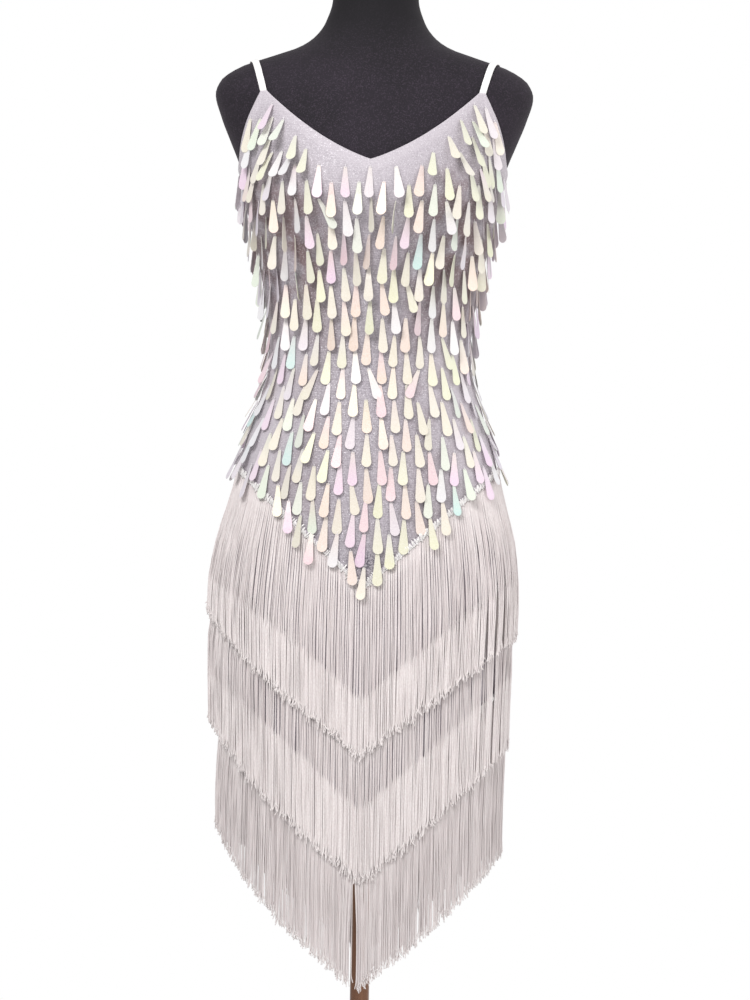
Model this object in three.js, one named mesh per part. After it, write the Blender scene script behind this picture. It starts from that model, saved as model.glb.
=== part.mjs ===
// A fringed slip dress on a limbless dress form with a pole and a round base.
// Millimetres, +Z up. The front faces -Y, the wearer's left is +X.
// The origin is the middle of the base's underside, on the floor.
import * as THREE from "three";

// ---- driving dimensions -------------------------------------------------

const EASE = 2.2; // air between the form's cover and the cloth
const CLOTH = 1.4; // wall of the stretch knit, turned hems included
const SEAM_GAP = 0.3; // between pieces that are sewn together
const FORM_BOTTOM = 735; // height of the torso's flat underside
const FORM_EDGE = 12; // rounding where the torso's side turns under
const NECK_TOP = 1512;
const NECK_EDGE = 8;

const V_POINT = 1271; // neckline, centre front
const STRAP_POINT = 1356; // neckline, where a strap starts
const UNDERARM = 1268; // top of the side seam
const NECK_SAG = 8; // how far the neckline dips under a straight line
const BACK_POINT = 1300; // back edge, where a strap ends
const BACK_DIP = 1256; // back edge, centre back

const STRAP_WIDTH = 8;
const STRAP_THICK = 1.2;
const STRAP_FRONT_X = 126; // strap's middle at the front edge
const STRAP_TOP_X = 146; // strap's middle on the shoulder
const STRAP_BACK_X = 106; // strap's middle at the back edge
const STRAP_AIR = 0.9; // between the shoulder and a strap
const SHOULDER_MIDDLE = 1270; // the straps' path is laid out round this height

const TAPE_HEIGHT = 9; // heading tape that the fringe hangs from
const TAPE_THICK = 1.4;
const TAPE_AIR = 0.5; // between the cloth and a tape
const TAPE_SLOPE = 0.89; // rise of each chevron for every mm away from the middle
const LOCKS = 64; // locks of strands on each tape
const LOCK_THICK = 2.4;
const LOCK_TAPER = 0.4; // share of its width that a lock loses by its end
const FULLNESS = 5.5; // how much longer the strands are halfway between middle and side
const SWEPT = 28; // how much shorter they are at the wearer's right side
const SWEPT_FROM = 95; // distance from the middle at which that starts
const SWING = 8.5; // how far the strands' ends swing out at the wearer's right side
const SWING_WITHIN = 150; // drop over which they do

const POLE_RADIUS = 11.5;
const BASE_RADIUS = 170;
const BASE_THICK = 10;
const BASE_EDGE = 3;
const HUB_RADIUS = 24;
const HUB_HEIGHT = 48;
const COLLAR_RADIUS = 21;
const COLLAR_HEIGHT = 26;

// Horizontal sections of the figure, neck to hem. halfWidth is across, front and back are
// the depths before and behind the pole's axis, and square is the superellipse's exponent.
const FIGURE = [
  { height: 1512, halfWidth: 51, front: 47, back: 50, square: 2.0 },
  { height: 1478, halfWidth: 51.5, front: 49, back: 52, square: 2.0 },
  { height: 1449, halfWidth: 60, front: 53, back: 59, square: 2.0 },
  { height: 1432, halfWidth: 72, front: 57, back: 66, square: 2.0 },
  { height: 1418, halfWidth: 92, front: 61.5, back: 73, square: 2.0 },
  { height: 1406, halfWidth: 126, front: 66, back: 80, square: 2.05 },
  { height: 1392, halfWidth: 165, front: 72, back: 87, square: 2.1 },
  { height: 1377, halfWidth: 185, front: 78, back: 94, square: 2.15 },
  { height: 1362, halfWidth: 190.5, front: 84, back: 100, square: 2.2 },
  { height: 1334, halfWidth: 183, front: 92, back: 107, square: 2.2 },
  { height: 1305, halfWidth: 171.5, front: 98, back: 111, square: 2.2 },
  { height: 1276, halfWidth: 160, front: 103, back: 112, square: 2.2 },
  { height: 1235, halfWidth: 150, front: 106, back: 109, square: 2.2 },
  { height: 1170, halfWidth: 134, front: 102, back: 99, square: 2.2 },
  { height: 1120, halfWidth: 124, front: 96, back: 90, square: 2.2 },
  { height: 1062, halfWidth: 117.5, front: 90, back: 84, square: 2.2 },
  { height: 1030, halfWidth: 119.5, front: 92, back: 86, square: 2.2 },
  { height: 985, halfWidth: 132, front: 99, back: 95, square: 2.2 },
  { height: 940, halfWidth: 146, front: 106, back: 107, square: 2.2 },
  { height: 880, halfWidth: 158, front: 111, back: 119, square: 2.2 },
  { height: 820, halfWidth: 167, front: 113, back: 123, square: 2.2 },
  { height: 760, halfWidth: 169, front: 113, back: 122, square: 2.2 },
  { height: 680, halfWidth: 166, front: 112, back: 119, square: 2.2 },
  { height: 500, halfWidth: 161, front: 110, back: 116, square: 2.2 },
];

// The bust: two rounds pushed out of the figure's front, and how much of the hollow between
// them shows on the form and on the cloth that bridges it.
const BUST = { height: 1236, angle: 31, out: 19, spread: 25, above: 62, below: 44 };
const HOLLOW_FORM = 0.55;
const HOLLOW_CLOTH = 0.16;

// Fringe tiers: the tape's middle at centre front, how long the strands are below that, how far
// they stand off the cloth, and which of the tape's two sets of stretches has the locks.
const TIERS = [
  { name: "fringe_upper", middle: 778, length: 200, stand: 8.0, set: 0 },
  { name: "fringe_middle", middle: 641, length: 208, stand: 4.4, set: 1 },
  { name: "fringe_lower", middle: 514, length: 204, stand: 1.0, set: 0 },
];
const LOCK_LEVELS = [0.11, 0.36, 1]; // shares of the length at which a lock has corners
const STAND_WITHIN = 55; // drop over which a lock reaches its stand-off
const HIP_HEIGHT = 760; // where the tapes are divided into stretches

// ---- small helpers ------------------------------------------------------

const RAD = Math.PI / 180;
const clamp01 = (t) => Math.min(1, Math.max(0, t));
const smoothStep = (t) => clamp01(t) ** 2 * (3 - 2 * clamp01(t));
const mix = (a, b, t) => a + (b - a) * t;
const range = (count) => Array.from({ length: count }, (_, i) => i);
const steps = (from, to, count) => range(count + 1).map((i) => mix(from, to, i / count));

// A monotone cubic through one column of the figure's table, as a function of height.
function columnCurve(column) {
  const rows = [...FIGURE].sort((a, b) => a.height - b.height);
  const at = rows.map((row) => row.height);
  const value = rows.map((row) => row[column]);
  const secant = at.slice(1).map((h, i) => (value[i + 1] - value[i]) / (h - at[i]));
  const slope = at.map((_, i) => {
    if (i === 0) return secant[0];
    if (i === at.length - 1) return secant[i - 1];
    const [before, after] = [secant[i - 1], secant[i]];
    return before * after <= 0 ? 0 : (2 * before * after) / (before + after);
  });
  return (height) => {
    const h = Math.min(at[at.length - 1], Math.max(at[0], height));
    let i = 0;
    while (i < at.length - 2 && h > at[i + 1]) i += 1;
    const span = at[i + 1] - at[i];
    const t = (h - at[i]) / span;
    return (
      value[i] * (1 + 2 * t) * (1 - t) ** 2 +
      slope[i] * span * t * (1 - t) ** 2 +
      value[i + 1] * t * t * (3 - 2 * t) +
      slope[i + 1] * span * t * t * (t - 1)
    );
  };
}

const halfWidthAt = columnCurve("halfWidth");
const frontAt = columnCurve("front");
const backAt = columnCurve("back");
const squareAt = columnCurve("square");

// How far the bust pushes the surface out at an angle from centre front, in degrees.
function bustOut(angle, height, hollow) {
  const away = Math.abs(((angle + 180) % 360 + 360) % 360 - 180);
  const reach = height > BUST.height ? BUST.above : BUST.below;
  const level = Math.exp(-(((height - BUST.height) / reach) ** 2));
  const round = Math.exp(-(((away - BUST.angle) / BUST.spread) ** 2));
  const bridged = 1 - hollow * Math.cos((away / BUST.angle) * 90 * RAD) ** 2;
  return BUST.out * level * (away < BUST.angle ? bridged : round);
}

// A point of the figure's surface moved out by a distance: angle 0 is centre front, 90 is +X.
function figurePoint(angle, height, out, hollow = HOLLOW_CLOTH) {
  const [s, c] = [Math.sin(angle * RAD), Math.cos(angle * RAD)];
  const power = 2 / squareAt(height);
  const depth = c > 0 ? frontAt(height) : backAt(height);
  const x = Math.sign(s) * (halfWidthAt(height) + out) * Math.abs(s) ** power;
  const y = -Math.sign(c) * (depth + out) * Math.abs(c) ** power;
  const push = 1 + bustOut(angle, height, hollow) / Math.hypot(x, y);
  return new THREE.Vector3(x * push, y * push, height);
}

// The angle at which the figure's section at a height has a given x, on the front or the back.
function angleAt(x, height, onBack = false) {
  const share = Math.min(1, Math.abs(x) / halfWidthAt(height));
  const angle = Math.asin(share ** (squareAt(height) / 2)) / RAD;
  return Math.sign(x) * (onBack ? 180 - angle : angle);
}

// Builds a closed geometry from faces that are lists of points; points are shared by value.
class Shell {
  constructor() {
    this.points = [];
    this.faces = [];
  }
  add(point) {
    return this.points.push(point) - 1;
  }
  // A flat or bent four-sided face, its corners anticlockwise from outside.
  quad(a, b, c, d) {
    this.faces.push(a, b, c, a, c, d);
  }
  geometry() {
    const flat = this.points.flatMap((p) => [p.x, p.y, p.z]);
    const made = new THREE.BufferGeometry();
    made.setAttribute("position", new THREE.Float32BufferAttribute(flat, 3));
    made.setIndex(this.faces);
    made.computeVertexNormals();
    return made;
  }
}

// A cloth panel: a wall between an inner and an outer grid. place(row, column, side) gives a
// point, side 0 inside and 1 outside; columns run towards +angle and rows run up.
function panelGeometry(rows, columns, place) {
  const shell = new Shell();
  const grid = [0, 1].map((side) =>
    range(rows + 1).map((row) =>
      range(columns + 1).map((column) => shell.add(place(row, column, side))),
    ),
  );
  const [inner, outer] = grid;
  for (let r = 0; r < rows; r += 1) {
    for (let k = 0; k < columns; k += 1) {
      shell.quad(outer[r][k], outer[r][k + 1], outer[r + 1][k + 1], outer[r + 1][k]);
      shell.quad(inner[r][k], inner[r + 1][k], inner[r + 1][k + 1], inner[r][k + 1]);
    }
    shell.quad(inner[r][0], outer[r][0], outer[r + 1][0], inner[r + 1][0]);
    shell.quad(outer[r][columns], inner[r][columns], inner[r + 1][columns], outer[r + 1][columns]);
  }
  for (let k = 0; k < columns; k += 1) {
    shell.quad(inner[0][k], inner[0][k + 1], outer[0][k + 1], outer[0][k]);
    shell.quad(outer[rows][k], outer[rows][k + 1], inner[rows][k + 1], inner[rows][k]);
  }
  return shell.geometry();
}

// ---- the dress form -----------------------------------------------------

// Rings of the torso from its underside to the neck's top, closed by fans on the axis.
function torsoGeometry() {
  const around = 36;
  const levels = [{ height: FORM_BOTTOM, inset: FORM_EDGE }];
  for (const turn of [30, 60, 90]) {
    levels.push({
      height: FORM_BOTTOM + FORM_EDGE * (1 - Math.cos(turn * RAD)),
      inset: FORM_EDGE * (1 - Math.sin(turn * RAD)),
    });
  }
  const heights = FIGURE.map((row) => row.height).sort((a, b) => a - b);
  for (const [i, height] of heights.entries()) {
    const next = heights[i + 1] ?? NECK_TOP - NECK_EDGE;
    const parts = next - height > 35 && height < 1300 ? 2 : 1;
    for (let part = 0; part < parts; part += 1) {
      const level = mix(height, next, part / parts);
      const clear = level > FORM_BOTTOM + FORM_EDGE + 5 && level < NECK_TOP - NECK_EDGE - 5;
      if (clear) levels.push({ height: level, inset: 0 });
    }
  }
  for (const turn of [0, 30, 60, 90]) {
    levels.push({
      height: NECK_TOP - NECK_EDGE * (1 - Math.sin(turn * RAD)),
      inset: NECK_EDGE * (1 - Math.cos(turn * RAD)),
    });
  }
  const shell = new Shell();
  const rings = levels.map(({ height, inset }) =>
    steps(0, 360, around)
      .slice(0, around)
      .map((angle) => shell.add(figurePoint(angle, height, -inset, HOLLOW_FORM))),
  );
  for (let r = 0; r + 1 < rings.length; r += 1) {
    for (let k = 0; k < around; k += 1) {
      const n = (k + 1) % around;
      shell.quad(rings[r][k], rings[r][n], rings[r + 1][n], rings[r + 1][k]);
    }
  }
  const bottom = shell.add(new THREE.Vector3(0, 0, FORM_BOTTOM));
  const top = shell.add(new THREE.Vector3(0, 0, NECK_TOP));
  for (let k = 0; k < around; k += 1) {
    const n = (k + 1) % around;
    shell.faces.push(bottom, rings[0][n], rings[0][k]);
    shell.faces.push(top, rings.at(-1)[k], rings.at(-1)[n]);
  }
  return shell.geometry();
}

// A solid of revolution about Z from a closed [radius, height] outline, anticlockwise.
function turned(outline, sides = 28) {
  const points = [...outline, outline[0]].map(([r, h]) => new THREE.Vector2(r, h));
  return new THREE.LatheGeometry(points, sides).rotateX(90 * RAD);
}

const poleFoot = BASE_THICK + SEAM_GAP;
const collarTop = FORM_BOTTOM - SEAM_GAP;
const poleGeometry = () =>
  turned([
    [0, poleFoot],
    [POLE_RADIUS, poleFoot],
    [POLE_RADIUS, FORM_BOTTOM - SEAM_GAP],
    [0, FORM_BOTTOM - SEAM_GAP],
  ]);

const baseGeometry = () =>
  turned([
    [0, 0],
    [BASE_RADIUS - BASE_EDGE, 0],
    [BASE_RADIUS, BASE_EDGE],
    [BASE_RADIUS, BASE_THICK - BASE_EDGE],
    [BASE_RADIUS - BASE_EDGE, BASE_THICK],
    [0, BASE_THICK],
  ], 40);

// A ring that slips over the pole, with its outer edges broken.
function ringOnPole(radius, from, to) {
  const bore = POLE_RADIUS + SEAM_GAP;
  const edge = 3;
  return turned([
    [bore, from],
    [radius, from],
    [radius, to - edge],
    [radius - edge, to],
    [bore, to],
  ]);
}

// ---- the slip -----------------------------------------------------------

const strapFrontAngle = angleAt(STRAP_FRONT_X, STRAP_POINT);
const strapBackAngle = angleAt(STRAP_BACK_X, BACK_POINT, true);
const strapHalfAngle = STRAP_WIDTH / 2 / (halfWidthAt(STRAP_POINT) * RAD * 0.86);
const SIDE_SEAM_ANGLE = 0.05; // each panel stops this short of the side
const BUST_SHARE = 0.68; // from this share of its height up, the front has closer rows

// Height of a tape's middle at an angle: straight lines in the front view that meet at the middle.
function tapeHeight(middle, angle) {
  let height = middle;
  for (let turn = 0; turn < 6; turn += 1) {
    height = middle + TAPE_SLOPE * Math.abs(figurePoint(angle, height, EASE + CLOTH).x);
  }
  return height;
}

const hemHeight = (angle) => tapeHeight(TIERS[2].middle, angle) - TAPE_HEIGHT / 2;

// Top edge of the front: a dipping line from the V to the strap, then the armhole to the side.
function frontTop(angle) {
  const away = Math.abs(angle);
  const inner = strapFrontAngle - strapHalfAngle;
  const outer = strapFrontAngle + strapHalfAngle;
  if (away <= inner) {
    const t = away / inner;
    return mix(V_POINT, STRAP_POINT, t) - NECK_SAG * 4 * t * (1 - t);
  }
  if (away <= outer) return STRAP_POINT;
  const t = (away - outer) / (90 - outer);
  return mix(STRAP_POINT, UNDERARM, Math.sin(t * 90 * RAD) ** 0.9);
}

// Top edge of the back: from the side up to the strap, then a shallow dip to the middle.
function backTop(angle) {
  const away = Math.abs(angle);
  const outer = strapBackAngle - strapHalfAngle;
  const inner = strapBackAngle + strapHalfAngle;
  if (away <= outer) return mix(UNDERARM, BACK_POINT, smoothStep((away - 90) / (outer - 90)) ** 1.2);
  if (away <= inner) return BACK_POINT;
  const t = (away - inner) / (180 - inner);
  return mix(BACK_POINT, BACK_DIP, Math.sin(t * 90 * RAD));
}

// Column angles of a panel, with the strap's two edges among them. half is from the middle out.
function panelAngles(half) {
  return [...half.slice(1).map((a) => -a).reverse(), ...half];
}

// A panel from the hem to its top edge; shares are the rows' places between the two.
function slipPanel(angles, shares, topAt) {
  return panelGeometry(shares.length - 1, angles.length - 1, (row, column, side) => {
    const angle = angles[column];
    const height = mix(hemHeight(angle), topAt(angle), shares[row]);
    return figurePoint(angle, height, EASE + CLOTH * side);
  });
}

function frontGeometry() {
  const half = [
    ...steps(0, strapFrontAngle - strapHalfAngle, 6),
    ...steps(strapFrontAngle + strapHalfAngle, 90 - SIDE_SEAM_ANGLE, 6),
  ];
  const shares = [...steps(0, BUST_SHARE, 9), ...steps(BUST_SHARE, 1, 14).slice(1)];
  return slipPanel(panelAngles(half), shares, frontTop);
}

function backGeometry() {
  const half = [
    ...steps(0, 180 - strapBackAngle - strapHalfAngle, 6),
    ...steps(180 - strapBackAngle + strapHalfAngle, 90 - SIDE_SEAM_ANGLE, 6),
  ];
  const angles = panelAngles(half).map((a) => a + 180);
  return slipPanel(angles, steps(0, 1, 16), (angle) => backTop(180 - Math.abs(angle - 180)));
}

// ---- the straps ---------------------------------------------------------

// Signed test of a point against the figure: below 0 inside.
function figureTest({ x, y, z }) {
  const depth = y < 0 ? frontAt(z) : backAt(z);
  const power = squareAt(z);
  return (Math.abs(x) / halfWidthAt(z)) ** power + (Math.abs(y) / depth) ** power - 1;
}

// The figure's surface on a ray that leaves the shoulder's middle in the plane of a given x;
// turn is 0 for straight ahead, 90 for up. Gives the point and the surface's normal there.
function shoulderPoint(x, turn) {
  const [ahead, up] = [-Math.cos(turn * RAD), Math.sin(turn * RAD)];
  const along = (reach) => new THREE.Vector3(x, reach * ahead, SHOULDER_MIDDLE + reach * up);
  let [low, high] = [0, 250];
  for (let guess = 0; guess < 40; guess += 1) {
    const reach = (low + high) / 2;
    if (figureTest(along(reach)) < 0) low = reach;
    else high = reach;
  }
  const at = along(low);
  const slope = (axis) => {
    const [more, less] = [at.clone(), at.clone()];
    more[axis] += 0.5;
    less[axis] -= 0.5;
    return figureTest(more) - figureTest(less);
  };
  return { at, normal: new THREE.Vector3(slope("x"), slope("y"), slope("z")).normalize() };
}

// The turn at which that ray meets a height above a panel's edge.
function turnAt(x, height, onBack) {
  const y = figurePoint(angleAt(x, height, onBack), height, 0, 1).y;
  return Math.atan2(height - SHOULDER_MIDDLE, -y) / RAD;
}

function strapGeometry(side) {
  const first = turnAt(STRAP_FRONT_X, STRAP_POINT, false);
  const last = turnAt(STRAP_BACK_X, BACK_POINT, true);
  const stations = steps(first, last, 20).map((turn) => {
    const end = turn < 90 ? (90 - turn) / (90 - first) : (turn - 90) / (last - 90);
    const x = mix(STRAP_TOP_X, turn < 90 ? STRAP_FRONT_X : STRAP_BACK_X, end ** 1.3);
    const { at, normal } = shoulderPoint(x, turn);
    const off = mix(STRAP_AIR + STRAP_THICK / 2, EASE + CLOTH / 2, smoothStep(end * 3 - 2));
    return { middle: at.addScaledVector(normal, off), normal };
  });
  const shell = new Shell();
  const rings = stations.map(({ middle, normal }, i) => {
    const before = stations[Math.max(0, i - 1)].middle;
    const after = stations[Math.min(stations.length - 1, i + 1)].middle;
    const along = after.clone().sub(before).normalize();
    const across = along.clone().cross(normal).normalize();
    const up = across.clone().cross(along).normalize();
    const edge = { 0: STRAP_POINT, [stations.length - 1]: BACK_POINT }[i];
    return [[-1, -1], [1, -1], [1, 1], [-1, 1]].map(([w, h]) => {
      const corner = middle
        .clone()
        .addScaledVector(across, (w * STRAP_WIDTH) / 2)
        .addScaledVector(up, (h * STRAP_THICK) / 2);
      if (edge) corner.addScaledVector(along, (edge + SEAM_GAP - corner.z) / along.z);
      corner.x *= side;
      return shell.add(corner);
    });
  });
  const quad = (a, b, c, d) => (side > 0 ? shell.quad(a, b, c, d) : shell.quad(d, c, b, a));
  for (let i = 0; i + 1 < rings.length; i += 1) {
    for (let k = 0; k < 4; k += 1) {
      const n = (k + 1) % 4;
      quad(rings[i][k], rings[i + 1][k], rings[i + 1][n], rings[i][n]);
    }
  }
  quad(...rings[0]);
  quad(...[...rings.at(-1)].reverse());
  return shell.geometry();
}

// ---- the fringe ---------------------------------------------------------

// Angles that split the hip's section into equal lengths.
function evenAngles(count) {
  const fine = steps(0, 360, 1440).map((angle) => figurePoint(angle, HIP_HEIGHT, 0));
  const along = [0];
  for (let i = 1; i < fine.length; i += 1) along.push(along[i - 1] + fine[i].distanceTo(fine[i - 1]));
  let i = 0;
  return steps(0, along.at(-1), count)
    .slice(0, count)
    .map((wanted) => {
      while (along[i + 1] < wanted) i += 1;
      return (i + (wanted - along[i]) / (along[i + 1] - along[i])) / 4;
    });
}

// One tier: a tape right round the slip, with every other stretch of its lower edge drawn
// down into a lock of strands that is four-sided and narrows to its end.
function fringeGeometry({ middle, length, stand, set }) {
  const angles = evenAngles(LOCKS * 2);
  const count = angles.length;
  const under = EASE + CLOTH + TAPE_AIR;
  const shell = new Shell();
  const tape = angles.map((angle) => {
    const height = tapeHeight(middle, angle);
    const [low, high] = [height - TAPE_HEIGHT / 2, height + TAPE_HEIGHT / 2];
    return {
      innerLow: shell.add(figurePoint(angle, low, under)),
      innerHigh: shell.add(figurePoint(angle, high, under)),
      outerLow: shell.add(figurePoint(angle, low, under + TAPE_THICK)),
      outerHigh: shell.add(figurePoint(angle, high, under + TAPE_THICK)),
    };
  });
  for (let k = 0; k < count; k += 1) {
    const [a, b] = [tape[k], tape[(k + 1) % count]];
    shell.quad(a.outerLow, b.outerLow, b.outerHigh, a.outerHigh);
    shell.quad(a.innerLow, a.innerHigh, b.innerHigh, b.innerLow);
    shell.quad(a.outerHigh, b.outerHigh, b.innerHigh, a.innerHigh);
    const edge = [a.innerLow, b.innerLow, b.outerLow, a.outerLow];
    if (k % 2 === set) addLock(shell, edge, angles[k], angles[k + 1] ?? 360, { middle, length, stand });
    else shell.quad(...edge);
  }
  return shell.geometry();
}

// How much longer than at the middle a tier's strands are at an angle: the ends make a full curve
// that is swept up at the wearer's right side.
function addedLength(angle) {
  const { x } = figurePoint(angle, HIP_HEIGHT, 0);
  const side = halfWidthAt(HIP_HEIGHT);
  const swept = SWEPT * clamp01((-x - SWEPT_FROM) / (side - SWEPT_FROM)) ** 1.6;
  return FULLNESS * Math.sin(180 * RAD * (Math.abs(x) / side)) - swept;
}

function addLock(shell, edge, from, to, { middle, length, stand }) {
  const centre = (from + to) / 2;
  const top = tapeHeight(middle, centre);
  const swing = SWING * Math.max(0, -Math.sin(centre * RAD)) ** 2;
  const under = EASE + CLOTH + TAPE_AIR;
  let ring = edge;
  for (const level of LOCK_LEVELS) {
    const drop = level * (length + addedLength(centre));
    const half = ((to - from) / 2) * (1 - LOCK_TAPER * level);
    const hung = mix(under, EASE + CLOTH + stand, smoothStep(drop / STAND_WITHIN));
    const out = hung + swing * smoothStep(drop / SWING_WITHIN);
    const thick = mix(TAPE_THICK, LOCK_THICK, smoothStep(drop / STAND_WITHIN));
    const height = top - drop;
    const next = [
      shell.add(figurePoint(centre - half, height, out)),
      shell.add(figurePoint(centre + half, height, out)),
      shell.add(figurePoint(centre + half, height, out + thick)),
      shell.add(figurePoint(centre - half, height, out + thick)),
    ];
    for (let k = 0; k < 4; k += 1) {
      const n = (k + 1) % 4;
      shell.quad(ring[k], ring[n], next[n], next[k]);
    }
    ring = next;
  }
  shell.quad(...ring);
}

// ---- the whole ----------------------------------------------------------

const knit = () => new THREE.MeshStandardMaterial({ color: 0xb9afb8, roughness: 0.7 });
const elastic = () => new THREE.MeshStandardMaterial({ color: 0xf4f2f0, roughness: 0.6 });
const yarn = () => new THREE.MeshStandardMaterial({ color: 0xe6dedd, roughness: 0.55 });
const jersey = () => new THREE.MeshStandardMaterial({ color: 0x1c1a20, roughness: 0.9 });
const bronze = () =>
  new THREE.MeshStandardMaterial({ color: 0x8a5a3c, roughness: 0.25, metalness: 0.9 });
const enamel = () => new THREE.MeshStandardMaterial({ color: 0x202022, roughness: 0.5 });

const dress = new THREE.Group();

function piece(name, geometry, material) {
  const mesh = new THREE.Mesh(geometry, material);
  mesh.name = name;
  dress.add(mesh);
}

piece("form_torso", torsoGeometry(), jersey());
piece("form_collar", ringOnPole(COLLAR_RADIUS, collarTop - COLLAR_HEIGHT, collarTop), bronze());
piece("form_pole", poleGeometry(), bronze());
piece("base_hub", ringOnPole(HUB_RADIUS, poleFoot, BASE_THICK + HUB_HEIGHT), bronze());
piece("base_plate", baseGeometry(), enamel());
piece("slip_front", frontGeometry(), knit());
piece("slip_back", backGeometry(), knit());
piece("strap_left", strapGeometry(1), elastic());
piece("strap_right", strapGeometry(-1), elastic());
for (const tier of TIERS) piece(tier.name, fringeGeometry(tier), yarn());

export default dress;
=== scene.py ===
import math

import bpy
import numpy as np
from mathutils import Matrix, Vector


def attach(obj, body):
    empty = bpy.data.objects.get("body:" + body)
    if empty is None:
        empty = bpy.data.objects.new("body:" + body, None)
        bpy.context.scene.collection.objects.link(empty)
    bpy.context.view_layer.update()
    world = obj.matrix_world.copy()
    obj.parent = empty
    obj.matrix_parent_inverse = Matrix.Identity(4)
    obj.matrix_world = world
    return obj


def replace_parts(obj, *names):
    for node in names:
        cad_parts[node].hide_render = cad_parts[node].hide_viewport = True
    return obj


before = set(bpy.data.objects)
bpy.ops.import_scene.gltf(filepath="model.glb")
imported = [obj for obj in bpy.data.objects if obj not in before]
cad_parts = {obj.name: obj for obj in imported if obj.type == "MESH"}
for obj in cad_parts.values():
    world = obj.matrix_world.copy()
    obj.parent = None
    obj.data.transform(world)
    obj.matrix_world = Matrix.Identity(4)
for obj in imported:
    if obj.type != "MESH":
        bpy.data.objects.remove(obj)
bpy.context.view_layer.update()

MM = 0.001

# ---- the figure and the dress, in metres, with angle 0 at centre front and 90 at +X ----

EASE, CLOTH = 2.2 * MM, 1.4 * MM  # air over the form, wall of the cloth's solid
SKIN = EASE + CLOTH  # the cloth's outer face, off the form
KNIT = 0.8 * MM  # wall of the knit itself
KNIT_FACE = SKIN - 0.4 * MM  # the knit's own outer face
FORM_BOTTOM, FORM_EDGE = 0.735, 0.012
NECK_TOP, NECK_EDGE = 1.512, 0.008
V_POINT, STRAP_POINT, UNDERARM, NECK_SAG = 1.271, 1.356, 1.268, 0.008
BACK_POINT, BACK_DIP = 1.300, 1.256
STRAP_WIDTH, STRAP_THICK, STRAP_TUCK = 0.008, 1.0 * MM, 7 * MM
STRAP_FRONT_X, STRAP_TOP_X, STRAP_BACK_X = 0.126, 0.146, 0.106
SHOULDER_MIDDLE = 1.270
TAPE_HEIGHT, TAPE_AIR, TAPE_SLOPE = 0.009, 0.5 * MM, 0.89
STAND_WITHIN = 0.140  # the drop over which strands ease out to where they hang
HIP_HEIGHT = 0.760
FULLNESS = 0.0055  # how much longer the strands are halfway between middle and side
SWEPT, SWEPT_FROM = 0.028, 0.095  # how much shorter at the wearer's right side, and from what -x
POLE_RADIUS = 0.0115
BASE_RADIUS, BASE_THICK = 0.170, 0.010
HUB_RADIUS, HUB_TOP = 0.024, 0.058
COLLAR_RADIUS, COLLAR_HEIGHT = 0.021, 0.026
GAP = 0.3 * MM

# height, half-width, depth in front, depth behind, superellipse exponent; lengths in mm
FIGURE = np.array([
    (500, 161, 110, 116, 2.2),
    (680, 166, 112, 119, 2.2),
    (760, 169, 113, 122, 2.2),
    (820, 167, 113, 123, 2.2),
    (880, 158, 111, 119, 2.2),
    (940, 146, 106, 107, 2.2),
    (985, 132, 99, 95, 2.2),
    (1030, 119.5, 92, 86, 2.2),
    (1062, 117.5, 90, 84, 2.2),
    (1120, 124, 96, 90, 2.2),
    (1170, 134, 102, 99, 2.2),
    (1235, 150, 106, 109, 2.2),
    (1276, 160, 103, 112, 2.2),
    (1305, 171.5, 98, 111, 2.2),
    (1334, 183, 92, 107, 2.2),
    (1362, 190.5, 84, 100, 2.2),
    (1377, 185, 78, 94, 2.15),
    (1392, 165, 72, 87, 2.1),
    (1406, 126, 66, 80, 2.05),
    (1418, 92, 61.5, 73, 2.0),
    (1432, 72, 57, 66, 2.0),
    (1449, 60, 53, 59, 2.0),
    (1478, 51.5, 49, 52, 2.0),
    (1512, 51, 47, 50, 2.0),
])
BUST = {"height": 1.236, "angle": 31, "out": 0.019, "spread": 25, "above": 0.062, "below": 0.044}
HOLLOW_FORM, HOLLOW_CLOTH = 0.55, 0.16  # how far form and cloth dip in between the breasts

# A tier's tape: its height at centre front, and how much further off the cloth than the upper one.
# Its strands: number, rings, length, how far off the cloth they hang, how far they swing out at
# -X and over which drop, how light they are (shade: painted shade that makes the lower tiers
# darker, as if under the tiers above), how far down the next tape starts (band), how much the tier
# above
# covers, and partings that leave a gap: place along the hips, half the gap, the push's reach, and
# the share of the length where it starts.
TIERS = {
    "fringe_upper": {
        "middle": 0.778, "raised": 0.0, "strands": 1180, "steps": 15, "length": 0.200,
        "stand": 8.0 * MM, "swing": (8.5 * MM, 0.19), "shade": 0.99, "band": 0.131,
        "covered": -0.010, "partings": [
            (0.143, 0.0030, 0.008, 0.4), (0.157, 0.0030, 0.007, 0.35),
            (0.171, 0.0032, 0.007, 0.3), (-0.172, 0.0015, 0.008, 0.3)]},
    "fringe_middle": {
        "middle": 0.641, "raised": 2.2 * MM, "strands": 1180, "steps": 15, "length": 0.208,
        "stand": 4.4 * MM, "swing": (12.5 * MM, 0.09), "shade": 0.95, "band": 0.121,
        "covered": 0.063, "partings": [(0.146, 0.0034, 0.009, 0.0), (0.163, 0.0028, 0.008, 0.1)]},
    "fringe_lower": {
        "middle": 0.514, "raised": 1.2 * MM, "strands": 1650, "steps": 13, "length": 0.204,
        "stand": 1.0 * MM, "swing": (8.5 * MM, 0.15), "shade": 0.89, "band": 0.100,
        "covered": 0.081, "partings": [(-0.006, 0.0044, 0.022, 0.25), (0.070, 0.0012, 0.008, 0.2)]},
}


def smooth(t):
    """0 below 0, 1 above 1, and 3t^2 - 2t^3 between."""
    t = np.clip(t, 0, 1)
    return t * t * (3 - 2 * t)


def sine(degrees):
    return np.sin(np.radians(degrees))


def cosine(degrees):
    return np.cos(np.radians(degrees))


def mix(a, b, t):
    return a + (b - a) * t


def bell(t):
    """A Gaussian, exp(-t^2)."""
    return np.exp(-(t**2))


def from_front(angle):
    """Degrees off centre front, 0 to 180 on either side."""
    return np.abs((angle + 180) % 360 - 180)


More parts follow.
